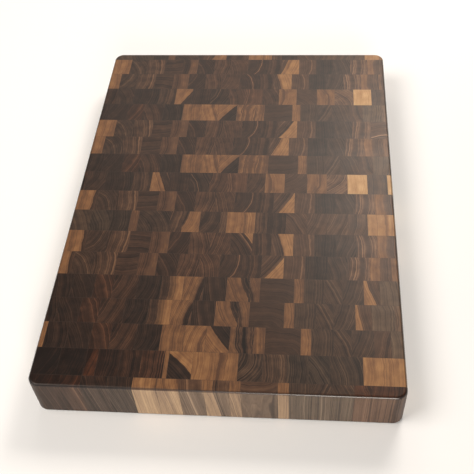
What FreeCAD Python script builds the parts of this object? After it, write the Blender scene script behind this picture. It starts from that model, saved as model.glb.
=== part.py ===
"""End-grain walnut cutting board, made as the glued blocks that the real one is made of.

Boards of walnut are glued edge to edge into panels. Each panel is sawn across into strips, every
strip is turned on end, and the strips are glued side by side as the rows of the board. A row is
therefore a line of blocks with their end grain up, and rows cut from one panel show the same blocks.

Frame: millimetres, +Z up, X along the rows, Y from the front edge (-Y) to the back edge (+Y).
The origin is the centre of the underside.
"""
import FreeCAD, Part
import Sketcher

import math
import os

DARK = "dark_heartwood"
BROWN = "brown_heartwood"
SAPWOOD = "sapwood"
WOODS = (DARK, BROWN, SAPWOOD)

# Each size that can be set by itself.
BOARD_SIZES = {
    "board_width": 356.0,
    "board_thickness": 48.0,
    "strip_width": 30.0,
    "end_strip_width": 12.3,
    "glue_line": 0.2,
    "corner_radius": 11.0,
    "top_edge_round": 3.0,
    "bottom_edge_round": 2.0,
    "smallest_offcut": 4.0,
}

# The boards of each panel from left to right: width and wood.
PANELS = {
    "a": [
        (24, SAPWOOD), (22, DARK), (24, BROWN), (23, DARK), (20, SAPWOOD), (22, DARK),
        (22, BROWN), (22, BROWN), (23, DARK), (20, BROWN), (23, SAPWOOD), (22, BROWN),
        (23, DARK), (20, DARK), (22, BROWN), (22, BROWN), (20, SAPWOOD),
    ],
    "b": [
        (6, SAPWOOD), (22, DARK), (23, DARK), (20, BROWN), (25, BROWN), (24, DARK),
        (23, SAPWOOD), (21, SAPWOOD), (23, DARK), (23, SAPWOOD), (11, SAPWOOD), (34, DARK),
        (10, SAPWOOD), (21, BROWN), (17, BROWN), (21, DARK), (16, BROWN), (22, BROWN),
        (22, BROWN),
    ],
    "c": [
        (16, DARK), (22, DARK), (32, DARK), (21, BROWN), (21, SAPWOOD), (24, DARK),
        (22, DARK), (20, BROWN), (23, BROWN), (20, DARK), (22, SAPWOOD), (25, DARK),
        (22, SAPWOOD), (23, BROWN), (22, SAPWOOD), (22, DARK), (14, SAPWOOD),
    ],
    "d": [
        (28, DARK), (22, DARK), (22, DARK), (9, SAPWOOD), (35, DARK), (14, BROWN),
        (19, SAPWOOD), (22, DARK), (7, BROWN), (31, SAPWOOD), (13, BROWN), (20, DARK),
        (23, BROWN), (21, BROWN), (22, BROWN), (21, DARK), (32, SAPWOOD),
    ],
    "e": [
        (26, DARK), (26, DARK), (11, BROWN), (22, DARK), (20, DARK), (22, BROWN),
        (4, SAPWOOD), (23, DARK), (21, SAPWOOD), (22, SAPWOOD), (23, BROWN), (23, BROWN),
        (20, DARK), (19, DARK), (31, BROWN), (21, SAPWOOD), (24, SAPWOOD),
    ],
}

# The rows from the back edge to the front edge: panel, and how much is trimmed off the left end.
ROWS = [
    ("d", 0), ("a", 0), ("a", 9), ("c", 0), ("b", 17), ("a", 0),
    ("a", 9), ("b", 8), ("c", 10), ("a", 0), ("d", 6), ("a", 0),
    ("a", 9), ("b", 8), ("b", 17), ("b", 0), ("e", 0), ("b", 20),
]
FULL_ROWS = len(ROWS) - 2


def board_alias(panel, index):
    """Name the sheet cell that holds the width of one board of a panel."""
    return f"panel_{panel}_board_{index + 1:02d}_width"


def trim_alias(row):
    """Name the sheet cell that holds how much is trimmed off the left end of a row."""
    return f"row_{row + 1:02d}_trim"


def make_sheet(doc):
    """Write every driving dimension into one spreadsheet and return it."""
    sheet = doc.addObject("Spreadsheet::Sheet", "Sizes")
    sizes = dict(BOARD_SIZES)
    for panel, boards in PANELS.items():
        for index, (width, _) in enumerate(boards):
            sizes[board_alias(panel, index)] = float(width)
    for row, (_, trim) in enumerate(ROWS):
        sizes[trim_alias(row)] = float(trim)
    for line, (alias, value) in enumerate(sizes.items(), start=1):
        sheet.set(f"A{line}", alias)
        sheet.set(f"B{line}", str(value))
        sheet.setAlias(f"B{line}", alias)
    doc.recompute()
    return sheet


def half_length_expression():
    """Give half of the board's length: the rows and the glue films between them, added up."""
    return (f"Sizes.end_strip_width + {FULL_ROWS / 2} * Sizes.strip_width"
            f" + {(FULL_ROWS + 1) / 2} * Sizes.glue_line")


def row_width_expression(row):
    """Give the size of a row along Y. The first and last rows have their own."""
    if row in (0, len(ROWS) - 1):
        return "Sizes.end_strip_width"
    return "Sizes.strip_width"


def row_front_expression(row):
    """Give the Y of the front side of a row."""
    if row == len(ROWS) - 1:
        return f"-({half_length_expression()})"
    return (f"{half_length_expression()} - Sizes.end_strip_width"
            f" - {row} * (Sizes.strip_width + Sizes.glue_line)")


def rounded_rectangle(body):
    """Draw the board's plan on the body's XY plane: a centred rectangle with round corners."""
    plane = next(plane for plane in body.Origin.OriginFeatures if plane.Role == "XY_Plane")
    sketch = body.newObject("Sketcher::SketchObject", "board_plan")
    sketch.AttachmentSupport = (plane, [""])
    sketch.MapMode = "FlatFace"
    half_x, half_y, radius = 150.0, 200.0, 10.0
    vector = FreeCAD.Vector
    sides = [
        (vector(-half_x + radius, -half_y, 0), vector(half_x - radius, -half_y, 0)),
        (vector(half_x, -half_y + radius, 0), vector(half_x, half_y - radius, 0)),
        (vector(half_x - radius, half_y, 0), vector(-half_x + radius, half_y, 0)),
        (vector(-half_x, half_y - radius, 0), vector(-half_x, -half_y + radius, 0)),
    ]
    centres = [(1, -1), (1, 1), (-1, 1), (-1, -1)]
    quarter = math.pi / 2
    for start, end in sides:
        sketch.addGeometry(Part.LineSegment(start, end))
    for index, (side_x, side_y) in enumerate(centres):
        centre = vector(side_x * (half_x - radius), side_y * (half_y - radius), 0)
        circle = Part.Circle(centre, vector(0, 0, 1), radius)
        sketch.addGeometry(Part.ArcOfCircle(circle, (index - 1) * quarter, index * quarter))
    first_arc = len(sides)
    for index in range(len(sides)):
        arc = first_arc + index
        following = (index + 1) % len(sides)
        sketch.addConstraint(Sketcher.Constraint("Tangent", index, 2, arc, 1))
        sketch.addConstraint(Sketcher.Constraint("Tangent", arc, 2, following, 1))
        if index:
            sketch.addConstraint(Sketcher.Constraint("Equal", first_arc, arc))
    for line, direction in ((0, "Horizontal"), (1, "Vertical"), (2, "Horizontal"), (3, "Vertical")):
        sketch.addConstraint(Sketcher.Constraint(direction, line))
    sketch.addConstraint(Sketcher.Constraint("Symmetric", first_arc, 3, first_arc + 2, 3, -1, 1))
    bind(sketch, Sketcher.Constraint("Radius", first_arc, radius), "Sizes.corner_radius")
    bind(sketch, Sketcher.Constraint("DistanceX", 3, 1, 1, 1, 2 * half_x), "Sizes.board_width")
    bind(sketch, Sketcher.Constraint("DistanceY", 0, 1, 2, 1, 2 * half_y),
         f"2 * ({half_length_expression()})")
    return sketch


def bind(sketch, constraint, expression):
    """Add a sketch dimension whose value follows an expression."""
    index = sketch.addConstraint(constraint)
    sketch.setExpression(f"Constraints[{index}]", expression)


def round_edges(body, base, name, height, radius_expression):
    """Round the edges of the body that lie at one height and return the fillet."""
    names = []
    for index, edge in enumerate(base.Shape.Edges, start=1):
        box = edge.BoundBox
        if abs(box.ZMin - height) < 1e-6 and abs(box.ZMax - height) < 1e-6:
            names.append(f"Edge{index}")
    fillet = body.newObject("PartDesign::Fillet", name)
    fillet.Base = (base, names)
    fillet.setExpression("Radius", radius_expression)
    return fillet


def make_outline(doc, sheet):
    """Make the finished outside of the board, which trims every block and glue film."""
    body = doc.addObject("PartDesign::Body", "board_outline")
    sketch = rounded_rectangle(body)
    pad = body.newObject("PartDesign::Pad", "board_slab")
    pad.Profile = sketch
    pad.setExpression("Length", "Sizes.board_thickness")
    doc.recompute()
    top = round_edges(body, pad, "top_round", sheet.board_thickness, "Sizes.top_edge_round")
    doc.recompute()
    round_edges(body, top, "bottom_round", 0.0, "Sizes.bottom_edge_round")
    doc.recompute()
    return body


def add_box(doc, name, row, length, left, width=None, front=None):
    """Add one full-height box whose sizes and place follow expressions."""
    box = doc.addObject("Part::Box", name)
    box.setExpression("Length", length)
    box.setExpression("Width", width or row_width_expression(row))
    box.setExpression("Height", "Sizes.board_thickness")
    box.setExpression(".Placement.Base.x", left)
    box.setExpression(".Placement.Base.y", front or row_front_expression(row))
    return box


def plan_row(sheet, panel, trim):
    """List the boards of a panel that fall inside a row.

    The boards repeat from the first when the panel runs out before the row is full. An offcut
    smaller than the smallest one is left on its neighbour. Each entry is the board's index, and
    the first entry's own length is the second value returned, as an expression.
    """
    boards = PANELS[panel]
    kept = []
    consumed = []
    edge = -trim
    position = 0
    while edge + sheet.smallest_offcut < sheet.board_width:
        index = position % len(boards)
        width = getattr(sheet, board_alias(panel, index))
        right = edge + width
        if right < sheet.smallest_offcut:
            consumed.append(index)
        else:
            kept.append(index)
        edge = right + sheet.glue_line
        position += 1
    widths = [f"Sizes.{board_alias(panel, index)} + Sizes.glue_line" for index in consumed]
    first = " + ".join(widths + [f"Sizes.{board_alias(panel, kept[0])}"])
    return kept, first


def make_row(doc, sheet, row):
    """Make one row's blocks and the glue films between them.

    Returns the blocks grouped by wood, and the films.
    """
    panel, _ = ROWS[row]
    prefix = f"row_{row + 1:02d}"
    trim = trim_alias(row)
    kept, first_length = plan_row(sheet, panel, getattr(sheet, trim))
    blocks = {wood: [] for wood in WOODS}
    films = []
    left = "-Sizes.board_width / 2"
    for place, index in enumerate(kept):
        name = f"{prefix}_block_{place + 1:02d}"
        if place == 0:
            length = f"{first_length} - Sizes.{trim}"
        elif place == len(kept) - 1:
            length = f"Sizes.board_width / 2 * 1 mm - ({left})"
        else:
            length = f"Sizes.{board_alias(panel, index)}"
        wood = PANELS[panel][index][1]
        blocks[wood].append(add_box(doc, name, row, length, left))
        if place < len(kept) - 1:
            film_name = f"{prefix}_film_{place + 1:02d}"
            film_left = f"{name}.Placement.Base.x + {name}.Length"
            films.append(add_box(doc, film_name, row, "Sizes.glue_line", film_left))
            left = f"{film_name}.Placement.Base.x + {film_name}.Length"
    return blocks, films


def make_strip_films(doc):
    """Make the glue films that run the whole width between neighbouring rows."""
    films = []
    for row in range(len(ROWS) - 1):
        front = f"{row_front_expression(row)} - Sizes.glue_line"
        film = add_box(doc, f"film_under_row_{row + 1:02d}", row, "Sizes.board_width",
                       "-Sizes.board_width / 2", "Sizes.glue_line", front)
        films.append(film)
    return films


def trim_to_outline(doc, name, boxes, outline):
    """Trim a group of boxes to the board's outside and return the finished sub-part."""
    group = doc.addObject("Part::Compound", f"{name}_sawn")
    group.Links = boxes
    part = doc.addObject("Part::Common", name)
    part.Base = group
    part.Tool = outline
    part.Label = name
    return part


def make_board(doc):
    """Build the whole board and return its sub-parts."""
    sheet = make_sheet(doc)
    outline = make_outline(doc, sheet)
    parts = []
    block_films = []
    for row in range(len(ROWS)):
        blocks, films = make_row(doc, sheet, row)
        block_films += films
        for wood in WOODS:
            if blocks[wood]:
                name = f"row_{row + 1:02d}_{wood}"
                parts.append(trim_to_outline(doc, name, blocks[wood], outline))
    parts.append(trim_to_outline(doc, "block_glue_films", block_films, outline))
    parts.append(trim_to_outline(doc, "strip_glue_films", make_strip_films(doc), outline))
    doc.recompute()
    return parts


def check(doc, parts):
    """Stop if any object failed, or if a sub-part is empty, invalid or short of a solid."""
    for item in doc.Objects:
        if "Invalid" in item.State or "Error" in item.State:
            raise RuntimeError(f"{item.Label} failed: {item.State}")
    for part in parts:
        if part.Shape.isNull() or not part.Shape.isValid():
            raise RuntimeError(f"{part.Label} has no valid shape")
        expected = len(part.Base.Links)
        if len(part.Shape.Solids) != expected:
            raise RuntimeError(f"{part.Label} has {len(part.Shape.Solids)} of {expected} solids")


def export(parts):
    """Write each sub-part to its own STEP file."""
    os.makedirs("parts", exist_ok=True)
    for part in parts:
        part.Shape.exportStep(f"parts/{part.Label}.step")



document = FreeCAD.newDocument("cutting_board")
sub_parts = make_board(document)
check(document, sub_parts)
export(sub_parts)
solids = sum(len(part.Shape.Solids) for part in sub_parts)
volume = sum(part.Shape.Volume for part in sub_parts)
print(f"{len(sub_parts)} sub-parts, {solids} solids, {volume / 1000:.1f} cubic centimetres")
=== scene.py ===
"""Looks of an end-grain walnut cutting board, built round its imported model.

The board is eighteen strips of walnut blocks standing on end and glued side by side. Strips sawn from
one glued-up panel repeat the same boards, so each board's look is written once, in its panel, and every
block cut from it carries it. The wood is one solid material: rings about a pith line, so the figure on
the upper face runs down the sides as long grain.

Metres, +Z up, X along the strips, Y towards the back edge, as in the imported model.
"""

import logging
import math
import random
from dataclasses import dataclass, field, replace
from enum import Enum

import bmesh
import bpy
from mathutils import Matrix, Vector


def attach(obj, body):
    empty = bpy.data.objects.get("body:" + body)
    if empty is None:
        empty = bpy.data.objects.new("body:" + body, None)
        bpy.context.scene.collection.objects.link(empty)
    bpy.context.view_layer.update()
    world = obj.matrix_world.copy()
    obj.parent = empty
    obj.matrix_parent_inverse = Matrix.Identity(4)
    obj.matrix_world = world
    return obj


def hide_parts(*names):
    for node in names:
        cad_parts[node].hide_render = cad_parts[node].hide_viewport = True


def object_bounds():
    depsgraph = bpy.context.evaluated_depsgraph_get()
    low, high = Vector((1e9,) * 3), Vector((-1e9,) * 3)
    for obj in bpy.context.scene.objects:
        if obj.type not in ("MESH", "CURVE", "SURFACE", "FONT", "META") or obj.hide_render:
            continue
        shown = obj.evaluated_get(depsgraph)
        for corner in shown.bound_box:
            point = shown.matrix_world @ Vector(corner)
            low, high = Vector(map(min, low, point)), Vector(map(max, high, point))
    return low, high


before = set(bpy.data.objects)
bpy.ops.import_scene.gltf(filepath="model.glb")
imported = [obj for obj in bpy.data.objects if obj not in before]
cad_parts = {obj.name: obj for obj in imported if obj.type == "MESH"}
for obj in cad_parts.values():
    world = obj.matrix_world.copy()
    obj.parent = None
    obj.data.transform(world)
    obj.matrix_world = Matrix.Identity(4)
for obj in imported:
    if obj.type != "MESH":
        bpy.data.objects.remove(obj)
CAD_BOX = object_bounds()

LOG = logging.getLogger("cutting_board")
MM = 0.001

Colour = tuple[float, float, float, float]
Stops = tuple[tuple[float, Colour], ...]
# Where something starts and ends.
Range = tuple[float, float]
# A size in millimetres and a weight.
Part = tuple[float, float]
Values = dict[str, object]
Socket = bpy.types.NodeSocket


def shade(red: float, green: float, blue: float) -> Colour:
    """Return an opaque linear colour."""
    return (red, green, blue, 1.0)


class Wood(Enum):
    """The kinds of walnut in the board, named as their nodes are."""

    DARK = "dark_heartwood"
    BROWN = "brown_heartwood"
    SAPWOOD = "sapwood"

    @property
    def slot(self) -> str:
        """Return the record's material slot for this wood."""
        return f"walnut_{self.value}"


class Side(Enum):
    """Which side of a board the bark was on, seen from above with the back edge at the top."""

    LEFT = -1
    RIGHT = 1


@dataclass(frozen=True)
class Line:
    """A single line of figure that follows the rings.

    Attributes:
        at: distance from the board's centre towards the bark, in millimetres.
        width: half-width in millimetres.
        strength: how much it changes the tone.
    """

    at: float = 0.0
    width: float = 1.0
    strength: float = 0.0

    def measured(self, pith: float) -> Vector:
        """Return the line's place from the pith, its width and its strength."""
        return Vector((pith + self.at, self.width, self.strength))


@dataclass(frozen=True)
class Board:
    """One board of a panel: its wood and its figure as seen on the end grain.

    Attributes:
        wood: the kind of walnut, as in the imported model.
        slant: how far the ring lines lean to the right of the board's edge, in degrees.
        bark: the side towards the bark, where the rings' radius grows.
        pith: distance from the board's centre to the pith, in millimetres; small is strongly curved.
        ring: ring spacing in millimetres.
        tone: from 0, nearly black, to 1, tan.
        warmth: from -1, grey, to 1, red-brown.
        contrast: strength of the ring lines.
        sap_from: where sapwood starts, in millimetres from the centre towards the bark.
        sap_soft: half-width of the change to sapwood, in millimetres.
        pale: from 0, tan, to 1, cream, for the sapwood.
        vein: a pale line.
        streak: a dark line.
        lean: how far the grain leans sideways per millimetre of height, on the long-grain faces.
        wave: how much the rings waver, in millimetres.
    """

    wood: Wood
    slant: float = 0.0
    bark: Side = Side.RIGHT
    pith: float = 90.0
    ring: float = 2.8
    tone: float = 0.3
    warmth: float = 0.0
    contrast: float = 1.0
    sap_from: float = 400.0
    sap_soft: float = 0.35
    pale: float = 0.5
    vein: Line = Line()
    streak: Line = Line()
    lean: tuple[float, float] = (0.01, 0.0)
    wave: float = 2.0

    def outward(self) -> Vector:
        """Return the direction from the pith to the bark, in the board's plan."""
        angle = math.radians(-self.slant)
        return Vector((math.cos(angle), math.sin(angle))) * self.bark.value


def dark(slant: float = 0.0, **look: object) -> Board:
    """Return a board of dark heartwood."""
    return Board(Wood.DARK, slant, **{"tone": 0.2, **look})


def brown(slant: float = 0.0, **look: object) -> Board:
    """Return a board of brown heartwood."""
    return Board(Wood.BROWN, slant, **{"tone": 0.42, **look})


def sap(slant: float = 0.0, **look: object) -> Board:
    """Return a board that is sapwood right through unless told where the sapwood starts."""
    return Board(Wood.SAPWOOD, slant, **{"tone": 0.45, "sap_from": -60.0, **look})


Changes = dict[int, Values]

LEFT = Side.LEFT
RIGHT = Side.RIGHT
LEANING = (-0.13, 0.0)

# The boards of each panel from left to right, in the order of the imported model.
PANELS: dict[str, list[Board]] = {
    "a": [
        sap(3, pale=0.28, pith=120, streak=Line(8, 3, 0.15)),
        dark(-32, pith=45, contrast=1.3, tone=0.26, warmth=-0.2),
        brown(-6, ring=3.4, contrast=1.3, tone=0.34, vein=Line(7, 1.1, 0.32)),
        dark(82, pith=60, tone=0.25, warmth=0.2),
        sap(2, pale=0.01, sap_from=0.0, sap_soft=1.5, tone=0.35, warmth=0.3),
        dark(-24, tone=0.18, vein=Line(-6, 1.2, 0.15), warmth=0.3),
        brown(9, tone=0.33, contrast=1.3, warmth=0.3),
        brown(-16, tone=0.31, pith=60, contrast=1.3, warmth=0.3),
        dark(14, pith=40, tone=0.23, vein=Line(4, 0.6, 0.42), warmth=0.2),
        brown(2, tone=0.27, warmth=0.2),
        sap(27, pale=0.39, sap_from=-1.5, tone=0.36, streak=Line(-2.6, 0.7, 0.2), pith=170, wave=1),
        brown(2, tone=0.38, vein=Line(4, 1.4, 0.2)),
        dark(tone=0.2, warmth=-0.4),
        dark(-14, tone=0.26, vein=Line(3, 1.2, 0.14), warmth=-0.3),
        brown(3, tone=0.46, ring=3.6, contrast=1.5),
        brown(2, bark=LEFT, tone=0.43, sap_from=4.0, pale=0.22),
        sap(bark=LEFT, pale=0.16, sap_from=1.0, tone=0.39),
    ],
    "b": [
        sap(pale=0.25),
        dark(6, tone=0.15),
        dark(22, tone=0.14, vein=Line(0, 0.8, 0.15), lean=LEANING),
        brown(20, tone=0.2, warmth=0.8, vein=Line(2, 1.2, 0.2), lean=LEANING),
        brown(-20, tone=0.22, warmth=0.3, vein=Line(-4, 2.0, 0.15), lean=LEANING),
        dark(-10, tone=0.13, pith=50, lean=LEANING),
        sap(-2, bark=LEFT, pale=0.155, contrast=1.3, lean=LEANING),
        sap(-14, bark=LEFT, pale=0.27, contrast=1.3, streak=Line(-5, 1.6, 0.25), lean=LEANING),
        dark(36, bark=LEFT, sap_from=0.0, pale=0.235, tone=0.15, pith=170, wave=1),
        sap(8, bark=LEFT, pale=0.13, ring=5.6, contrast=2.5, wave=3, streak=Line(-1, 1.8, 0.35)),
        sap(4, pale=0.1, contrast=1.5),
        dark(78, pith=40, tone=0.27, contrast=0.5, wave=3.5),
        sap(pale=0.24),
        brown(tone=0.32, warmth=-0.4),
        brown(24, tone=0.32, vein=Line(0, 1.0, 0.12), warmth=-0.3),
        dark(-20, tone=0.31, vein=Line(2, 0.7, 0.16), warmth=-0.3),
        brown(-14, bark=LEFT, tone=0.36, vein=Line(3, 1.2, 0.14)),
        brown(4, tone=0.49, warmth=-0.7),
        brown(2, tone=0.52, warmth=-0.3),
    ],
    "c": [
        dark(8, tone=0.215, warmth=0.3),
        dark(-20, tone=0.22, pith=50),
        dark(4, tone=0.16),
        brown(2, tone=0.3),
        sap(27, bark=LEFT, sap_from=-3.0, pale=0.25, tone=0.24),
        dark(3, tone=0.19, warmth=0.2),
        dark(18, tone=0.175, pith=50, vein=Line(-4, 0.7, 0.35)),
        brown(-12, tone=0.29, warmth=0.4),
        brown(4, tone=0.38, warmth=0.5, wave=3),
        dark(-16, tone=0.28, pith=50, warmth=0.2),
        sap(3, pale=0.22, streak=Line(-6, 1.3, 0.25)),
        dark(-50, tone=0.32, pith=40),
        sap(-12, pale=0.16, streak=Line(2, 1.0, 0.35), wave=3),
        brown(-38, tone=0.5, ring=3.4, pith=40, contrast=1.6),
        sap(pale=0.72, contrast=0.5),
        dark(tone=0.38, warmth=-0.3),
        sap(pale=0.76),
    ],
    "d": [
        dark(-22, tone=0.345, warmth=-0.6),
        dark(-22, tone=0.28, vein=Line(0, 0.7, 0.2), warmth=-0.8),
        dark(tone=0.23, warmth=-0.6),
        sap(pale=0.02, tone=0.4, warmth=0.5),
        dark(-30, tone=0.26, pith=40, contrast=1.2, warmth=-0.3),
        brown(12, tone=0.31, vein=Line(2, 1.2, 0.2)),
        sap(17, sap_from=-7.1, pale=0.26, tone=0.36, streak=Line(-9.5, 1.0, 0.3), pith=170),
        dark(20, tone=0.25, pith=50),
        brown(8, tone=0.35),
        sap(pale=0.3, streak=Line(4, 1.0, 0.25)),
        brown(2, tone=0.37, contrast=1.4),
        dark(tone=0.2),
        brown(-28, tone=0.35, vein=Line(0, 0.8, 0.2)),
        brown(18, tone=0.37, warmth=-0.1),
        brown(20, tone=0.41, warmth=-0.2),
        dark(6, tone=0.42, warmth=-0.2),
        sap(pale=0.54, streak=Line(5, 1.4, 0.3)),
    ],
    "e": [
        dark(26, tone=0.0, warmth=0.4, vein=Line(4, 0.6, 0.1)),
        dark(10, tone=0.03, warmth=0.5),
        brown(11, tone=0.2, warmth=2.2, streak=Line(-7, 3.0, 0.3)),
        dark(4, tone=0.1, warmth=0.8),
        dark(tone=0.17, warmth=0.6),
        brown(2, tone=0.22, warmth=0.8, contrast=1.4),
        sap(pale=0.2),
        dark(-44, sap_from=1.5, pale=0.31, tone=0.165, pith=170, wave=1),
        sap(2, pale=0.34, streak=Line(7, 2.0, 0.2)),
        sap(2, pale=0.21, streak=Line(-7, 2.0, 0.2)),
        brown(24, tone=0.31, pith=40, contrast=1.4, warmth=-0.4),
        brown(-4, tone=0.38, pith=50, ring=3.4, contrast=1.4, warmth=-0.3),
        dark(tone=0.27, warmth=-0.7),
        dark(-30, tone=0.26, vein=Line(1, 0.7, 0.25), warmth=-0.8),
        brown(-14, tone=0.29, warmth=-0.6),
        sap(pale=0.38),
        sap(pale=0.43, streak=Line(-6, 1.3, 0.2)),
    ],
}


@dataclass(frozen=True)
class StripPlan:
    """How one strip was laid.

    Attributes:
        panel: the panel that it was sawn from.
        first: the number of the board that its left end shows, counted from 1.
        turned: True if the strip was turned end over end, which mirrors its figure front to back.
        changes: board number to what differs in this strip, further along the stem.
    """

    panel: str
    first: int = 1
    turned: bool = False
    changes: Changes = field(default_factory=dict)


def wedge(slant: float, start: float, **look: object) -> Values:
    """Return a change of a board's sapwood edge: its slant in degrees and its place."""
    return {"slant": slant, "sap_from": start, "pith": 170.0, "wave": 1.0, **look}


def wider_heart(triangle: Values) -> Changes:
    """List how panel b's heartwood spreads in its middle strips.

    Args:
        triangle: the change of the board that shows a corner of sapwood.

    Returns:
        The changes.
    """
    return {
        7: {"bark": RIGHT, "sap_from": 1.0, "sap_soft": 7.0, "tone": 0.3, "pale": 0.34},
        8: {"sap_from": -1.0, "sap_soft": 6.0, "tone": 0.32, "pale": 0.22},
        9: {"slant": 10.0, "sap_from": 90.0, "tone": 0.2},
        10: {"slant": 24.0, "sap_from": -5.0, "tone": 0.2, "contrast": 1.2, "streak": Line()},
        11: {"slant": 14.0, "sap_from": -2.0, "sap_soft": 1.0, "tone": 0.25},
        13: {"pale": 0.18},
        17: triangle,
    }


NARROW_SAP: Values = {"bark": LEFT, "sap_from": -3.4, "sap_soft": 1.0, "tone": 0.27}
FAR_TRIANGLE = wedge(30.0, 8.4, pale=0.3)
STRIPED: Values = {"slant": 4.0, "sap_from": 8.0, "sap_soft": 1.5, "tone": 0.33, "contrast": 1.7}
SHORT_CHECK: Values = {
    "slant": 80.0, "pith": 50.0, "sap_from": 60.0, "tone": 0.42, "vein": Line(-9.0, 0.55, 1.0),
}
FRONT_STRIP: Changes = {
    2: {"tone": 0.0, "warmth": 1.8},
    3: {"tone": 0.02, "warmth": 1.8},
    4: {"tone": 0.1, "warmth": 1.8},
    5: {"tone": 0.12, "warmth": 0.4},
    6: {"tone": 0.15},
    7: {"pale": 0.35, "lean": (-0.03, 0.0), "streak": Line(-9.3, 1.8, 0.5)},
    8: {"streak": Line(-9.0, 2.6, 0.4)},
    9: {
        "slant": -8.0, "bark": RIGHT, "sap_from": 7.0, "sap_soft": 1.2, "tone": 0.41, "pale": 0.3,
        "lean": LEANING, "vein": Line(-7.5, 1.4, 0.3),
    },
    10: {
        "slant": -4.0, "sap_from": 7.0, "sap_soft": 1.2, "tone": 0.45, "pale": 0.26, "contrast": 1.4,
        "lean": LEANING, "streak": Line(3.0, 1.2, 0.15),
    },
    11: {"pale": 0.17, "lean": LEANING},
    12: {"tone": 0.36, "contrast": 0.9},
    17: {"tone": 0.29, "warmth": 1.3},
    18: {"tone": 0.25, "warmth": 1.4},
    19: {"tone": 0.17, "warmth": 1.6},
}
KNOT: Values = {"pith": 4.0, "ring": 1.5, "tone": 0.3, "streak": Line(-3.5, 3.0, 0.5)}

# From the back edge to the front edge.
STRIPS: list[StripPlan] = [
    StripPlan("d"),
    StripPlan("a", changes={5: {"tone": 0.2}, 11: wedge(17, -6.7)}),
    StripPlan("a", turned=True, changes={11: wedge(13, -3.9)}),
    StripPlan("c"),
    StripPlan("b", first=2),
    StripPlan("a", changes={11: wedge(31, -1.3), 16: SHORT_CHECK, 17: SHORT_CHECK}),
    StripPlan("a", changes={11: wedge(20, -4.2)}),
    StripPlan("b", first=2),
    StripPlan("c", turned=True, changes={5: wedge(20, -1.3)}),
    StripPlan("a", changes={1: NARROW_SAP, 11: wedge(28, 1.3)}),
    StripPlan("d"),
    StripPlan("a", turned=True, changes={1: NARROW_SAP, 9: FAR_TRIANGLE, 11: wedge(13, -3.0)}),
    StripPlan("a", changes={1: NARROW_SAP, 11: wedge(34, 1.0)}),
    StripPlan("b", first=2, turned=True, changes=wider_heart(wedge(17, 1.6, bark=LEFT, pale=0.38))),
    StripPlan("b", first=2, turned=True, changes=wider_heart(wedge(10, 5.2, bark=LEFT, pale=0.38))),
    StripPlan("b", turned=True, changes={10: STRIPED, 19: KNOT}),
    StripPlan("e"),
    StripPlan("b", first=2, changes=FRONT_STRIP),
]


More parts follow.
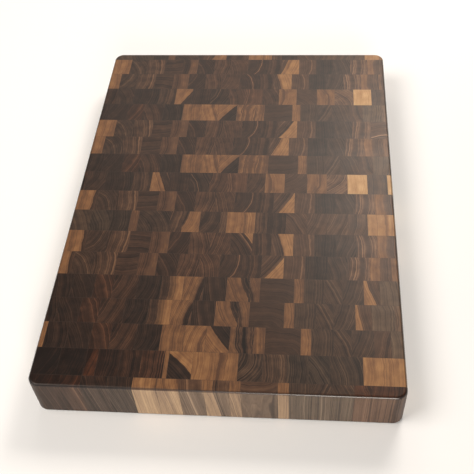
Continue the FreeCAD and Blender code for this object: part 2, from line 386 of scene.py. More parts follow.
class NodeGraph:
    """A short way to write shader nodes."""

    def __init__(self, name: str) -> None:
        """Start an empty material.

        Args:
            name: the material's name.
        """
        self.material = bpy.data.materials.new(name)
        self.material.use_nodes = True
        self.tree = self.material.node_tree
        self.tree.nodes.clear()

    def add(self, kind: str, inputs: Values | None = None, **settings: object) -> bpy.types.Node:
        """Add a node.

        Args:
            kind: the node's type without its ShaderNode prefix.
            inputs: socket name to a value or to an output socket to link from.
            settings: the node's own properties.

        Returns:
            The new node.
        """
        node = self.tree.nodes.new(f"ShaderNode{kind}")
        for key, value in settings.items():
            setattr(node, key, value)
        for key, value in (inputs or {}).items():
            self.feed(node.inputs[key], value)
        return node

    def feed(self, socket: Socket, value: object) -> None:
        """Link an output to a socket, or set the socket's value.

        Args:
            socket: the input socket.
            value: the output to link from, or the value to set.
        """
        if isinstance(value, Socket):
            self.tree.links.new(value, socket)
        else:
            socket.default_value = value

    def work_out(self, kind: str, operation: str, values: tuple[object, ...]) -> bpy.types.Node:
        """Add a node that works on its first inputs.

        Args:
            kind: Math or VectorMath.
            operation: the node's operation, such as ADD.
            values: up to three values or output sockets.

        Returns:
            The new node.
        """
        node = self.add(kind, operation=operation)
        for socket, value in zip(node.inputs, values):
            self.feed(socket, value)
        return node

    def math(self, operation: str, *values: object) -> Socket:
        """Return the result of an operation on up to three numbers."""
        return self.work_out("Math", operation, values).outputs["Value"]

    def times(self, first: object, second: object) -> Socket:
        """Return one number times another."""
        return self.math("MULTIPLY", first, second)

    def plus(self, first: object, second: object) -> Socket:
        """Return the sum of two numbers."""
        return self.math("ADD", first, second)

    def minus(self, first: object, second: object) -> Socket:
        """Return one number less another."""
        return self.math("SUBTRACT", first, second)

    def times_plus(self, value: object, factor: object, more: object) -> Socket:
        """Return a number times a factor, plus more."""
        return self.math("MULTIPLY_ADD", value, factor, more)

    def vector(self, operation: str, *values: object) -> Socket:
        """Return the vector that an operation on up to three vectors gives."""
        return self.work_out("VectorMath", operation, values).outputs["Vector"]

    def length(self, vector: Socket) -> Socket:
        """Return a vector's length."""
        return self.work_out("VectorMath", "LENGTH", (vector,)).outputs["Value"]

    def scaled(self, vector: Socket, factor: object) -> Socket:
        """Return a vector times a number."""
        node = self.add("VectorMath", {"Vector": vector, "Scale": factor}, operation="SCALE")
        return node.outputs["Vector"]

    def parts(self, vector: Socket) -> list[Socket]:
        """Return a vector's three components."""
        return list(self.add("SeparateXYZ", {"Vector": vector}).outputs)

    def join(self, x: object, y: object, z: object) -> Socket:
        """Return a vector made of three numbers."""
        return self.add("CombineXYZ", {"X": x, "Y": y, "Z": z}).outputs["Vector"]

    def attribute(self, name: str) -> Socket:
        """Return a vector attribute of the mesh."""
        return self.add("Attribute", attribute_name=name).outputs["Vector"]

    def here(self) -> Socket:
        """Return the point on the object, in millimetres."""
        return self.scaled(self.add("TexCoord").outputs["Object"], 1.0 / MM)

    def levelness(self) -> Socket:
        """Return how level the surface is, from 0 on the sides to 1 on the top and underside."""
        return self.math("ABSOLUTE", self.parts(self.add("NewGeometry").outputs["Normal"])[2])

    def noise(self, vector: Socket, size: float, detail: float = 2.0) -> bpy.types.Node:
        """Return a three-dimensional noise node, with spots of about the given size."""
        return self.add("TexNoise", {"Vector": vector, "Scale": 1.0 / size, "Detail": detail})

    def patches(self, vector: Socket, size: float, detail: float = 2.0) -> Socket:
        """Return three-dimensional noise about zero."""
        return self.minus(self.noise(vector, size, detail).outputs[0], 0.5)

    def noise_along(self, value: Socket, size: float, detail: float = 1.0,
                    rough: float = 0.5) -> Socket:
        """Return noise that varies along one number, about 0.5."""
        inputs = {"W": value, "Scale": 1.0 / size, "Detail": detail, "Roughness": rough}
        return self.add("TexNoise", inputs, noise_dimensions="1D").outputs[0]

    def remap(self, value: object, low: object, high: object, top: float = 1.0) -> Socket:
        """Return a number mapped smoothly to 0 at its low end and top at its high end."""
        inputs = {"Value": value, "From Min": low, "From Max": high, "To Max": top}
        return self.add("MapRange", inputs, interpolation_type="SMOOTHSTEP").outputs["Result"]

    def between(self, value: Socket, rise: Range, fall: Range) -> Socket:
        """Return 1 between a rise and a fall, and 0 outside them."""
        return self.times(self.remap(value, *rise), self.remap(value, *fall))

    def ramp(self, value: Socket, stops: Stops) -> Socket:
        """Read a colour from a ramp.

        Args:
            value: where to read the ramp.
            stops: the ramp's positions and colours.

        Returns:
            The colour.
        """
        node = self.add("ValToRGB", {"Fac": value})
        elements = node.color_ramp.elements
        while len(elements) < len(stops):
            elements.new(0.5)
        for element, (position, colour) in zip(elements, stops):
            element.position = position
            element.color = colour
        return node.outputs["Color"]

    def mix(self, factor: object, first: object, second: object, blend: str = "MIX") -> Socket:
        """Mix two colours.

        Args:
            factor: how much the second colour counts.
            first: the first colour.
            second: the second colour.
            blend: the node's way of mixing.

        Returns:
            The mixed colour.
        """
        node = self.add("Mix", data_type="RGBA", blend_type=blend)
        # The node has sockets for numbers, vectors and colours, and these are for colours.
        for index, value in ((0, factor), (6, first), (7, second)):
            self.feed(node.inputs[index], value)
        return node.outputs[2]

    def bump(self, height: Socket, strength: float, distance: float) -> Socket:
        """Return the surface normal over a relief."""
        inputs = {"Height": height, "Strength": strength, "Distance": distance}
        return self.add("Bump", inputs).outputs["Normal"]

    def finish(self, **inputs: object) -> bpy.types.Material:
        """Close the graph with one Principled shader.

        Args:
            inputs: the shader's inputs, with underscores for the spaces in their names.

        Returns:
            The finished material.
        """
        named = {key.replace("_", " "): value for key, value in inputs.items()}
        shader = self.add("BsdfPrincipled", named)
        output = self.add("OutputMaterial")
        self.tree.links.new(shader.outputs["BSDF"], output.inputs["Surface"])
        return self.material


@dataclass(frozen=True)
class WalnutFinish:
    """Oiled walnut, solid all the way through: rings, sapwood, veins, pores and fibres.

    Everything is worked out in millimetres in the board's own place in the stem, from vectors that each
    block's mesh carries, so one material serves every block. A stretch is how fast noise changes along
    the stem, as a share of how fast it changes across.
    """

    heart: Stops = (
        (0.0, shade(0.007, 0.004, 0.003)),
        (0.2, shade(0.026, 0.0135, 0.0090)),
        (0.42, shade(0.072, 0.036, 0.021)),
        (0.65, shade(0.150, 0.078, 0.042)),
        (1.0, shade(0.340, 0.190, 0.105)),
    )
    sapwood: Stops = (
        (0.0, shade(0.080, 0.038, 0.021)),
        (0.3, shade(0.190, 0.090, 0.039)),
        (0.55, shade(0.306, 0.158, 0.064)),
        (0.8, shade(0.450, 0.265, 0.118)),
        (1.0, shade(0.620, 0.430, 0.230)),
    )
    # How the rings waver.
    broad_wave: Part = (26.0, 2.6)
    close_wave: Part = (7.0, 0.85)
    wave_stretch: float = 0.16
    # The figure.
    uneven_rings: Part = (9.0, 2.2)
    broad_bands: Part = (7.0, 0.27)
    fine_bands: Part = (1.3, 0.5)
    fine_rough: float = 0.7
    clouds: Part = (9.0, 0.3)
    cloud_stretch: float = 0.12
    late_sharpness: float = 3.0
    late_weight: float = -0.07
    early_share: float = 0.3
    early_patches: float = 5.0
    early_range: Range = (0.4, 0.7)
    early_weight: float = 0.14
    # What the sapwood takes from the figure, and the sapwood's edge.
    sap_figure: float = 0.7
    sap_late: float = -0.06
    sap_mottle: Part = (7.0, 0.5)
    mottle_stretch: tuple[float, float, float] = (1.0, 0.5, 0.1)
    ragged_edge: Part = (3.0, 0.8)
    ragged_stretch: float = 0.2
    # What one step of warmth adds to red, green and blue.
    warming: tuple[float, float, float] = (0.22, -0.02, -0.16)
    # Pores and fibres.
    pore_size: float = 0.5
    pore_length: float = 14.0
    pore_range: Range = (0.34, 0.12)
    pore_shade: Colour = shade(0.012, 0.007, 0.005)
    pore_weight: float = 0.3
    fibre_size: float = 0.35
    fibre_stretch: float = 0.05
    pore_depth: float = -0.8
    bump_strength: float = 0.35
    bump_height: float = 0.05 * MM
    # The sides, which take less oil, and the rounded edges, which take more oil and also carry painted
    # shade that darkens them as the round turns away: ranges of how level it is.
    side_range: Range = (0.5, 0.25)
    side_gamma: float = 0.8
    side_saturation: float = 0.8
    side_value: float = 1.6
    side_tint: Colour = shade(0.94, 1.0, 0.94)
    soak_and_painted_shade_rise: Range = (0.3, 0.55)
    soak_and_painted_shade_fall: Range = (0.99, 0.85)
    soak_and_painted_shade_colour: Colour = shade(0.010, 0.006, 0.005)
    soak_and_painted_shade_weight: float = 0.6
    # Gloss.
    cloud_rough: Part = (18.0, 0.14)
    least_rough: float = 0.32
    pore_rough: float = 0.12
    side_rough: float = 0.08
    specular: float = 0.25
    rubbed_rise: Range = (0.2, 0.5)
    rubbed_fall: Range = (0.92, 0.8)
    rubbed_rough: float = 0.26
    rubbed_ior: float = 1.6

    def material(self) -> bpy.types.Material:
        """Return the walnut material."""
        return WalnutNodes(self).build()


class WalnutNodes(NodeGraph):
    """The nodes of the walnut material."""

    def __init__(self, look: WalnutFinish) -> None:
        """Start the material and work out what its parts share.

        Args:
            look: the numbers and colours of the wood.
        """
        super().__init__("oiled_walnut")
        self.look = look
        moved = self.vector("SUBTRACT", self.here(), self.attribute("grain_origin"))
        self.place = self.vector("MULTIPLY", moved, self.attribute("grain_turn"))
        self.seed = self.attribute("seed")
        self.radius = self.ring_radius()
        self.pores = self.open_pores()
        self.level = self.levelness()
        self.side = self.remap(self.level, *look.side_range)

    def build(self) -> bpy.types.Material:
        """Put the wood together.

        Returns:
            The finished material.
        """
        look = self.look
        tone, warmth, contrast = self.parts(self.attribute("tone"))
        figure, late = self.figure(contrast)
        line = self.minus(self.line("vein"), self.line("streak"))
        heart = self.ramp(self.plus(self.plus(figure, tone), line), look.heart)
        sapwood = self.ramp(self.sap_level(figure, late, line), look.sapwood)
        wood = self.mix(self.sap_share(), self.warmed(heart, warmth), sapwood)
        return self.finish(
            Base_Color=self.oiled_with_painted_edge_shade(wood),
            Roughness=self.roughness(),
            Normal=self.relief(),
            Specular_IOR_Level=look.specular,
            Coat_Weight=self.between(self.level, look.rubbed_rise, look.rubbed_fall),
            Coat_Roughness=look.rubbed_rough,
            Coat_IOR=look.rubbed_ior,
        )

    def stretched(self, stretch: float) -> Socket:
        """Return the point in the stem, squeezed along it and moved by the board's seed."""
        return self.vector("MULTIPLY_ADD", self.place, (1.0, 1.0, stretch), self.seed)

    def ring_radius(self) -> Socket:
        """Work out the distance from the pith line, with the rings' wavering.

        Returns:
            The distance in millimetres.
        """
        lean = self.attribute("grain_lean")
        wave = self.parts(lean)[2]
        along = self.stretched(self.look.wave_stretch)
        bent = self.place
        for size, reach in (self.look.broad_wave, self.look.close_wave):
            sway = self.noise(along, size, 1.0).outputs["Color"]
            sway = self.vector("SUBTRACT", sway, (0.5, 0.5, 0.5))
            bent = self.vector("ADD", bent, self.scaled(sway, self.times(wave, reach)))
        height = self.parts(self.place)[2]
        pith = self.vector("ADD", self.attribute("pith"), self.scaled(lean, height))
        offset = self.vector("SUBTRACT", bent, pith)
        return self.length(self.vector("MULTIPLY", offset, (1.0, 1.0, 0.0)))

    def figure(self, contrast: Socket) -> tuple[Socket, Socket]:
        """Work out the figure of the rings.

        Args:
            contrast: the figure's strength.

        Returns:
            The figure, about zero, and the dark late wood from 0 to 1.
        """
        look = self.look
        spacing = self.parts(self.attribute("pith"))[2]
        across = self.plus(self.radius, self.parts(self.seed)[0])
        uneven = self.noise_along(across, look.uneven_rings[0])
        rings = self.times_plus(uneven, look.uneven_rings[1], self.math("DIVIDE", across, spacing))
        season = self.math("FRACT", rings)
        late = self.math("POWER", season, look.late_sharpness)
        patchy = self.remap(self.noise_along(across, look.early_patches), *look.early_range)
        early = self.times(self.remap(season, look.early_share, 0.0), patchy)
        broad = self.minus(self.noise_along(across, look.broad_bands[0]), 0.5)
        fine = self.noise_along(across, look.fine_bands[0], 2.0, look.fine_rough)
        clouds = self.patches(self.stretched(look.cloud_stretch), look.clouds[0], 3.0)
        total = self.times(broad, look.broad_bands[1])
        total = self.times_plus(self.minus(fine, 0.5), look.fine_bands[1], total)
        total = self.times_plus(clouds, look.clouds[1], total)
        total = self.times_plus(late, look.late_weight, total)
        total = self.times_plus(early, look.early_weight, total)
        return self.times(total, contrast), late

    def line(self, name: str) -> Socket:
        """Work out one line that follows the rings.

        Args:
            name: the line's attribute.

        Returns:
            The line's strength here.
        """
        at, width, strength = self.parts(self.attribute(name))
        away = self.math("DIVIDE", self.minus(self.radius, at), width)
        spread = self.math("EXPONENT", self.times(self.times(away, away), -1.0))
        return self.times(spread, strength)

    def sap_level(self, figure: Socket, late: Socket, line: Socket) -> Socket:
        """Work out how pale the sapwood is.

        Args:
            figure: the figure of the rings.
            late: the dark late wood.
            line: the pale vein less the dark streak.

        Returns:
            Where to read the sapwood's colours.
        """
        look = self.look
        mottle_place = self.vector("MULTIPLY", self.place, look.mottle_stretch)
        mottle = self.patches(mottle_place, look.sap_mottle[0])
        level = self.times_plus(figure, look.sap_figure, self.parts(self.attribute("sap"))[2])
        level = self.times_plus(mottle, look.sap_mottle[1], level)
        return self.plus(self.times_plus(late, look.sap_late, level), line)

    def sap_share(self) -> Socket:
        """Work out where the sapwood is.

        Returns:
            1 in sapwood and 0 in heartwood.
        """
        start, soft, _ = self.parts(self.attribute("sap"))
        size, reach = self.look.ragged_edge
        ragged = self.patches(self.stretched(self.look.ragged_stretch), size)
        depth = self.times_plus(ragged, reach, self.minus(self.radius, start))
        return self.remap(depth, self.times(soft, -1.0), soft)

    def warmed(self, colour: Socket, warmth: Socket) -> Socket:
        """Return the heartwood's colour turned to red-brown or to grey."""
        tint = self.join(*(self.times_plus(warmth, step, 1.0) for step in self.look.warming))
        return self.mix(1.0, colour, tint, "MULTIPLY")

    def open_pores(self) -> Socket:
        """Work out the pores, which are dots on the end grain and long dashes on the sides.

        Returns:
            1 in a pore.
        """
        across = 1 / self.look.pore_size
        cells = (across, across, 1 / self.look.pore_length)
        spot = self.vector("MULTIPLY_ADD", self.place, cells, self.seed)
        cell = self.add("TexVoronoi", {"Vector": spot, "Scale": 1.0, "Randomness": 1.0})
        return self.remap(cell.outputs["Distance"], *self.look.pore_range)

    def oiled_with_painted_edge_shade(self, wood: Socket) -> Socket:
        """Oil the wood, which soaks into the end grain and leaves the sides lighter, and darken the
        rounded edges, partly for oil that soaks in and partly with painted shade.

        Args:
            wood: the wood's colour.

        Returns:
            The oiled colour, with the rounded edges darkened by oil and by painted shade.
        """
        look = self.look
        lighter = self.add("Gamma", {"Color": wood, "Gamma": look.side_gamma}).outputs["Color"]
        toned = {"Color": lighter, "Saturation": look.side_saturation, "Value": look.side_value}
        dry = self.add("HueSaturation", toned).outputs["Color"]
        dry = self.mix(1.0, dry, look.side_tint, "MULTIPLY")
        # Painted shade: the rounded edges are darkened, partly as oil soaked into them and partly as
        # the shade a round turning away from the light would get.
        edge = self.between(self.level, look.soak_and_painted_shade_rise, look.soak_and_painted_shade_fall)
        soaked_and_painted_shade = self.mix(self.times(edge, look.soak_and_painted_shade_weight), wood, look.soak_and_painted_shade_colour)
        colour = self.mix(self.side, soaked_and_painted_shade, dry)
        return self.mix(self.times(self.pores, look.pore_weight), colour, look.pore_shade)

    def roughness(self) -> Socket:
        """Work out how rough the rubbed oil is.

        Returns:
            The roughness.
        """
        size, weight = self.look.cloud_rough
        cloud = self.noise(self.place, size, 3.0).outputs[0]
        rough = self.times_plus(cloud, weight, self.look.least_rough)
        rough = self.times_plus(self.pores, self.look.pore_rough, rough)
        return self.times_plus(self.side, self.look.side_rough, rough)

    def relief(self) -> Socket:
        """Work out the relief of pores and fibres.

        Returns:
            The surface normal.
        """
        look = self.look
        fibre_place = self.vector("MULTIPLY", self.place, (1.0, 1.0, look.fibre_stretch))
        fibre = self.noise(fibre_place, look.fibre_size).outputs[0]
        height = self.times_plus(self.pores, look.pore_depth, fibre)
        return self.bump(height, look.bump_strength, look.bump_height)


@dataclass(frozen=True)
class GlueFinish:
    """Cured brown wood glue, sanded flush. Sizes are in millimetres."""

    light: Colour = shade(0.050, 0.030, 0.020)
    deep: Colour = shade(0.018, 0.011, 0.008)
    cloud_size: float = 6.0
    grit_size: float = 0.4
    cloud_range: Range = (0.35, 0.65)
    grit_rough: float = 0.2
    least_rough: float = 0.4
    specular: float = 0.35
    bump_strength: float = 0.3
    bump_height: float = 0.04 * MM

    def material(self) -> bpy.types.Material:
        """Build the glue material.

        Returns:
            The material.
        """
        graph = NodeGraph("cured_wood_glue")
        place = graph.here()
        cloud = graph.noise(place, self.cloud_size, 3.0).outputs[0]
        grit = graph.noise(place, self.grit_size).outputs[0]
        return graph.finish(
            Base_Color=graph.ramp(cloud, tuple(zip(self.cloud_range, (self.deep, self.light)))),
            Roughness=graph.times_plus(grit, self.grit_rough, self.least_rough),
            Normal=graph.bump(grit, self.bump_strength, self.bump_height),
            Specular_IOR_Level=self.specular,
        )


@dataclass
class Slab:
    """The finished outside of the board, from which each block's mesh is cut.

    It has the radii of the vertical corners, upper edge and lower edge, and the facets in each round.
    """

    low: Vector
    high: Vector
    corner: float = 11.0 * MM
    top_round: float = 3.0 * MM
    bottom_round: float = 2.0 * MM
    corner_steps: int = 14
    round_steps: int = 7

    def profile(self) -> list[tuple[float, float]]:
        """Work out the shape of the side, from the underside to the top.

        Returns:
            An (inset, height) pair for each step.
        """
        lower, upper = [], []
        for step in range(self.round_steps + 1):
            angle = math.pi / 2 * step / self.round_steps
            near, far = 1 - math.cos(angle), 1 - math.sin(angle)
            lower.append((self.bottom_round * far, self.low.z + self.bottom_round * near))
            upper.append((self.top_round * near, self.high.z - self.top_round * far))
        return lower + upper

    def outline(self, inset: float) -> list[tuple[float, float]]:
        """Work out the plan of the board, anticlockwise.

        Args:
            inset: how far inwards from the outside.

        Returns:
            The (x, y) points.
        """
        points = []
        radius = self.corner - inset
        corners = ((1, -1), (1, 1), (-1, 1), (-1, -1))
        middle = (self.low + self.high) / 2
        half = (self.high - self.low) / 2
        for turn, (side_x, side_y) in enumerate(corners):
            centre_x = middle.x + side_x * (half.x - self.corner)
            centre_y = middle.y + side_y * (half.y - self.corner)
            for step in range(self.corner_steps + 1):
                angle = math.pi / 2 * (turn - 1 + step / self.corner_steps)
                x = centre_x + radius * math.cos(angle)
                points.append((x, centre_y + radius * math.sin(angle)))
        return points

    def build(self) -> bmesh.types.BMesh:
        """Build the whole board.

        Returns:
            One closed mesh.
        """
        mesh = bmesh.new()
        rings = []
        for inset, height in self.profile():
            rings.append([mesh.verts.new((x, y, height)) for x, y in self.outline(inset)])
        for lower, upper in zip(rings, rings[1:]):
            count = len(lower)
            for index in range(count):
                after = (index + 1) % count
                mesh.faces.new((lower[index], lower[after], upper[after], upper[index]))
        mesh.faces.new(list(reversed(rings[0])))
        mesh.faces.new(rings[-1])
        bmesh.ops.recalc_face_normals(mesh, faces=mesh.faces)
        return mesh


@dataclass(frozen=True)
class Block:
    """One block of wood: its lowest and highest corner, and the board that it was sawn from.

    The first block of a strip may have lost its left side, so it is anchored by its right one.
    """

    low: Vector
    high: Vector
    board: Board
    number: int
    anchored_right: bool


# How far the pith wanders sideways for each millimetre up the stem.
STEM_DRIFT = Vector((0.01, 0.004))
SEED_SPREAD = 500.0
GRAIN_VECTORS = (
    "grain_origin", "grain_turn", "pith", "grain_lean", "tone", "sap", "vein", "streak", "seed",
)
# Vertices this near each other are joined.
WELD = 0.001 * MM
# A cut goes through a vertex this near to it.
CUT_SLACK = 0.0001 * MM
SHARP_ANGLE = math.radians(40)


@dataclass
class Strip:
    """One strip of the board: a row of blocks cut from one panel.

    Attributes:
        number: its number, from 1 at the back edge.
        plan: how it was laid.
        order: how many strips its panel gave before it.
        widths: the whole width of each board, by panel and number, in metres.
        saw_pitch: how far apart along the stem the strips were, in millimetres.
    """

    number: int
    plan: StripPlan
    order: int
    widths: dict[tuple[str, int], float] = field(default_factory=dict)
    saw_pitch: float = 51.0

    @property
    def prefix(self) -> str:
        """Return the start of the names of this strip's nodes."""
        return f"row_{self.number:02d}"

    def places(self) -> list[tuple[Vector, Vector, Wood]]:
        """Find this strip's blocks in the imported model.

        Returns:
            The lowest corner, highest corner and wood of each block, from left to right.
        """
        found = []
        for wood in Wood:
            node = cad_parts.get(f"{self.prefix}_{wood.value}")
            if node is not None:
                found += [(low, high, wood) for low, high in separate_solids(node)]
        return sorted(found, key=lambda place: place[0].x)

    def blocks(self) -> list[Block]:
        """Match this strip's blocks to the boards that they come from.

        Returns:
            The blocks, from left to right.
        """
        boards = PANELS[self.plan.panel]
        blocks = []
        for step, (low, high, wood) in enumerate(self.places()):
            number = self.plan.first + step
            board = replace(boards[number - 1], **self.plan.changes.get(number, {}))
            if board.wood is not wood:
                raise ValueError(f"{self.prefix} block {step + 1} is {wood}, not {board.wood}")
            blocks.append(Block(low, high, board, number, step == 0))
        return blocks

    def grain(self, block: Block) -> dict[str, Vector]:
        """Work out the vectors that place a block's figure, in millimetres.

        Args:
            block: the block.

        Returns:
            Attribute name to vector, one for each of GRAIN_VECTORS.
        """
        board = block.board
        width = self.widths[(self.plan.panel, block.number)] / MM
        left = block.high.x / MM - width if block.anchored_right else block.low.x / MM
        flip = -1.0 if self.plan.turned else 1.0
        height = (block.high.z - block.low.z) / MM
        along = self.saw_pitch * self.order
        base = height + along if self.plan.turned else -along
        middle = (block.low.y + block.high.y) / 2 / MM
        outward = board.outward()
        centre = Vector((width / 2, 0.0))
        upper = flip * (height - base)
        lean = Vector(board.lean)
        pith = centre - outward * board.pith + (STEM_DRIFT - lean) * upper
        rng = random.Random(f"{self.plan.panel}{block.number}")
        return {
            "grain_origin": Vector((left, middle, base)),
            "grain_turn": Vector((1.0, flip, flip)),
            "pith": Vector((pith.x, pith.y, board.ring)),
            "grain_lean": Vector((lean.x, lean.y, board.wave)),
            "tone": Vector((board.tone, board.warmth, board.contrast)),
            "sap": Vector((board.pith + board.sap_from, board.sap_soft, board.pale)),
            "vein": board.vein.measured(board.pith),
            "streak": board.streak.measured(board.pith),
            "seed": Vector([rng.uniform(0, SEED_SPREAD) for _ in range(3)]),
        }

    def build(self, slab: bmesh.types.BMesh, finish: bpy.types.Material) -> None:
        """Build this strip's blocks, one piece for each kind of wood.

        Args:
            slab: the whole board's mesh, to cut from.
            finish: the walnut material.
        """
        blocks = self.blocks()
        for wood in Wood:
            chosen = [block for block in blocks if block.board.wood is wood]
            if not chosen:
                continue
            node = f"{self.prefix}_{wood.value}"
            piece = self.piece(f"{node}_blocks", chosen, slab, finish)
            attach(piece, "root")
            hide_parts(node)
            LOG.info("%s: %d blocks", piece.name, len(chosen))

    def piece(self, name: str, blocks: list[Block], slab: bmesh.types.BMesh,
              finish: bpy.types.Material) -> bpy.types.Object:
        """Build one object that holds several blocks as separate closed shells.

        Args:
            name: the object's name.
            blocks: the blocks.
            slab: the whole board's mesh, to cut from.
            finish: the walnut material.

        Returns:
            The new object.
        """
        whole = bmesh.new()
        layers = [whole.verts.layers.float_vector.new(key) for key in GRAIN_VECTORS]
        for block in blocks:
            shell = cut_block(slab, block.low, block.high)
            vectors = self.grain(block)
            matching = {vert: whole.verts.new(vert.co) for vert in shell.verts}
            for vert in matching.values():
                for layer, key in zip(layers, GRAIN_VECTORS):
                    vert[layer] = vectors[key]
            for face in shell.faces:
                made = whole.faces.new([matching[vert] for vert in face.verts])
                made.smooth = True
            shell.free()
        mesh = bpy.data.meshes.new(name)
        whole.to_mesh(mesh)
        whole.free()
        mesh.set_sharp_from_angle(angle=SHARP_ANGLE)
        mesh.materials.append(finish)
        piece = bpy.data.objects.new(name, mesh)
        bpy.context.scene.collection.objects.link(piece)
        weigh = piece.modifiers.new("flat_faces_stay_flat", "WEIGHTED_NORMAL")
        weigh.keep_sharp = True
        return piece


def separate_solids(node: bpy.types.Object) -> list[tuple[Vector, Vector]]:
    """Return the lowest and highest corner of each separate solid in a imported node.

    Args:
        node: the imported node's object.

    Returns:
        One (low, high) pair for each solid.
    """
    mesh = bmesh.new()
    mesh.from_mesh(node.data)
    bmesh.ops.remove_doubles(mesh, verts=mesh.verts, dist=WELD)
    waiting = set(mesh.verts)
    found = []
    while waiting:
        group = [waiting.pop()]
        for vert in group:
            for edge in vert.link_edges:
                other = edge.other_vert(vert)
                if other in waiting:
                    waiting.remove(other)
                    group.append(other)
        low = Vector(min(vert.co[axis] for vert in group) for axis in range(3))
        high = Vector(max(vert.co[axis] for vert in group) for axis in range(3))
        found.append((low, high))
    mesh.free()
    return found


def cut_block(slab: bmesh.types.BMesh, low: Vector, high: Vector) -> bmesh.types.BMesh:
    """Cut one block out of the whole board.

    Args:
        slab: the whole board's mesh, which stays as it is.
        low: the block's lowest corner.
        high: the block's highest corner.

    Returns:
        The block as a closed mesh.
    """
    block = slab.copy()
    planes = (
        (low, Vector((-1, 0, 0))),
        (high, Vector((1, 0, 0))),
        (low, Vector((0, -1, 0))),
        (high, Vector((0, 1, 0))),
    )
    for point, normal in planes:
        everything = list(block.verts) + list(block.edges) + list(block.faces)
        cut = bmesh.ops.bisect_plane(
            block, geom=everything, dist=CUT_SLACK, plane_co=point, plane_no=normal, clear_outer=True
        )
        edges = [item for item in cut["geom_cut"] if isinstance(item, bmesh.types.BMEdge)]
        rim = [edge for edge in edges if edge.is_boundary]
        if rim:
            bmesh.ops.contextual_create(block, geom=rim)
    bmesh.ops.recalc_face_normals(block, faces=block.faces)
    return block


@dataclass
class CuttingBoard:
    """The whole board: its strips of blocks and the glue between them."""

    walnut: WalnutFinish = WalnutFinish()
    glue: GlueFinish = GlueFinish()

    def strips(self) -> list[Strip]:
        """Plan the strips.

        Returns:
            The strips from back to front, each knowing its place in its panel.
        """
        made: dict[str, int] = {}
        strips = []
        for number, plan in enumerate(STRIPS, start=1):
            order = made.get(plan.panel, 0)
            made[plan.panel] = order + 1
            strips.append(Strip(number, plan, order))
        widths: dict[tuple[str, int], float] = {}
        for strip in strips:
            for block in strip.blocks():
                key = (strip.plan.panel, block.number)
                widths[key] = max(widths.get(key, 0.0), block.high.x - block.low.x)
        for strip in strips:
            strip.widths = widths
        return strips

    def build(self) -> None:
        """Build every block and dress the glue films."""
        low, high = CAD_BOX
        slab = Slab(Vector(low), Vector(high)).build()
        walnut = self.walnut.material()
        for strip in self.strips():
            strip.build(slab, walnut)
        slab.free()
        glue = self.glue.material()
        for name in ("block_glue_films", "strip_glue_films"):
            dress(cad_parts[name], glue)
            LOG.info("%s: dressed", name)


def dress(node: bpy.types.Object, material: bpy.types.Material) -> None:
    """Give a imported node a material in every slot.

    Args:
        node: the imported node's object.
        material: the material.
    """
    if not node.material_slots:
        node.data.materials.append(material)
    for slot in node.material_slots:
        slot.material = material


@dataclass(frozen=True)
class Lamp:
    """A flat soft light that faces the board.

    Attributes:
        name: the lamp's name.
        place: its centre, in metres.
        width: its width in metres.
        height: its height in metres.
        power: its power in watts.
        colour: the colour of its light.
    """

    name: str
    place: tuple[float, float, float]
    width: float
    height: float
    power: float
    colour: tuple[float, float, float] = (1.0, 0.9, 0.8)

    def build(self) -> None:
        """Hang the lamp."""
        light = bpy.data.lights.new(self.name, "AREA")
        light.shape = "RECTANGLE"
        light.size = self.width
        light.size_y = self.height
        light.energy = self.power
        light.color = self.colour
        lamp = bpy.data.objects.new(self.name, light)
        lamp.location = self.place
        lamp.rotation_euler = (-Vector(self.place)).to_track_quat("-Z", "Y").to_euler()
        bpy.context.scene.collection.objects.link(lamp)


LAMPS = (
    Lamp("pale_wall_behind", (0.25, 2.0, 1.75), 2.6, 1.1, 23.0),
    Lamp("window_behind_right", (0.52, 1.20, 1.28), 0.6, 0.6, 14.5),
    Lamp("soft_box_left", (-1.2, -0.6, 1.9), 1.2, 1.2, 33.0),
    Lamp("soft_box_front", (0.45, -2.4, 0.9), 1.0, 0.9, 31.0),
)


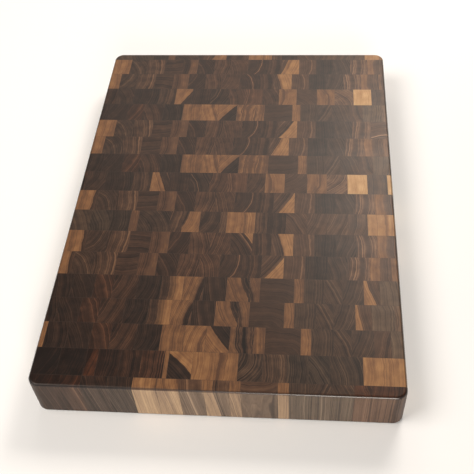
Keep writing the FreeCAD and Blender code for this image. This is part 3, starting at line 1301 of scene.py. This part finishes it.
@dataclass
class Studio:
    """A pale floor, soft lights and the camera.

    The room lights the board as strongly as air says and looks as bright as backdrop says. The floor
    glows far away, between the two distances of glow, so that it meets the room without a dark band.
    """

    floor_size: float = 12.0
    floor_colour: Colour = shade(0.90, 0.93, 0.96)
    floor_rough: float = 0.9
    floor_specular: float = 0.1
    room_colour: Colour = shade(1.0, 0.99, 0.97)
    glow: Range = (1.0, 4.0)
    glow_share: float = 0.9
    air: float = 0.13
    backdrop: float = 0.8
    lamps: tuple[Lamp, ...] = LAMPS
    camera_place: Vector = field(default_factory=lambda: Vector((0.0827, -0.6158, 0.6965)))
    camera_aim: Vector = field(default_factory=lambda: Vector((0.0086, -0.0660, 0.0480)))
    camera_roll: float = -4.7
    camera_lens: float = 60.4

    def build(self) -> None:
        """Build the floor, the lights, the air and the camera."""
        self.floor()
        for lamp in self.lamps:
            lamp.build()
        self.world()
        self.camera()

    def floor(self) -> None:
        """Lay the floor just under the board."""
        mesh = bmesh.new()
        bmesh.ops.create_grid(mesh, x_segments=4, y_segments=4, size=self.floor_size / 2)
        data = bpy.data.meshes.new("floor")
        mesh.to_mesh(data)
        mesh.free()
        floor = bpy.data.objects.new("floor", data)
        floor.location.z = CAD_BOX[0][2]
        bpy.context.scene.collection.objects.link(floor)
        graph = NodeGraph("pale_floor")
        away = graph.length(graph.add("TexCoord").outputs["Object"])
        data.materials.append(graph.finish(
            Base_Color=self.floor_colour,
            Roughness=self.floor_rough,
            Specular_IOR_Level=self.floor_specular,
            Emission_Color=self.room_colour,
            Emission_Strength=graph.remap(away, *self.glow, self.backdrop * self.glow_share),
        ))

    def world(self) -> None:
        """Fill the room with even, pale light."""
        world = bpy.data.worlds.new("room")
        world.use_nodes = True
        tree = world.node_tree
        background = tree.nodes["Background"]
        background.inputs["Color"].default_value = self.room_colour
        seen = tree.nodes.new("ShaderNodeLightPath").outputs["Is Camera Ray"]
        strength = tree.nodes.new("ShaderNodeMapRange")
        strength.inputs["To Min"].default_value = self.air
        strength.inputs["To Max"].default_value = self.backdrop
        tree.links.new(seen, strength.inputs["Value"])
        tree.links.new(strength.outputs["Result"], background.inputs["Strength"])
        bpy.context.scene.world = world

    def camera(self) -> None:
        """Place the camera."""
        data = bpy.data.cameras.new("camera")
        data.lens = self.camera_lens
        camera = bpy.data.objects.new("camera", data)
        look = (self.camera_aim - self.camera_place).to_track_quat("-Z", "Y")
        roll = Matrix.Rotation(math.radians(self.camera_roll), 3, "Z")
        camera.location = self.camera_place
        camera.rotation_euler = (look.to_matrix() @ roll).to_euler()
        bpy.context.scene.collection.objects.link(camera)
        bpy.context.scene.camera = camera


def corners(box: tuple[Vector, Vector]) -> list[list[float]]:
    """Return a box's two corners as plain lists of numbers."""
    return [[float(value) for value in corner] for corner in box]


def main() -> None:
    """Build the board and the studio."""
    logging.basicConfig(level=logging.INFO, format="%(message)s")
    bpy.context.scene.view_settings.view_transform = "Standard"
    CuttingBoard().build()
    Studio().build()


if __name__ == "__main__":
    main()
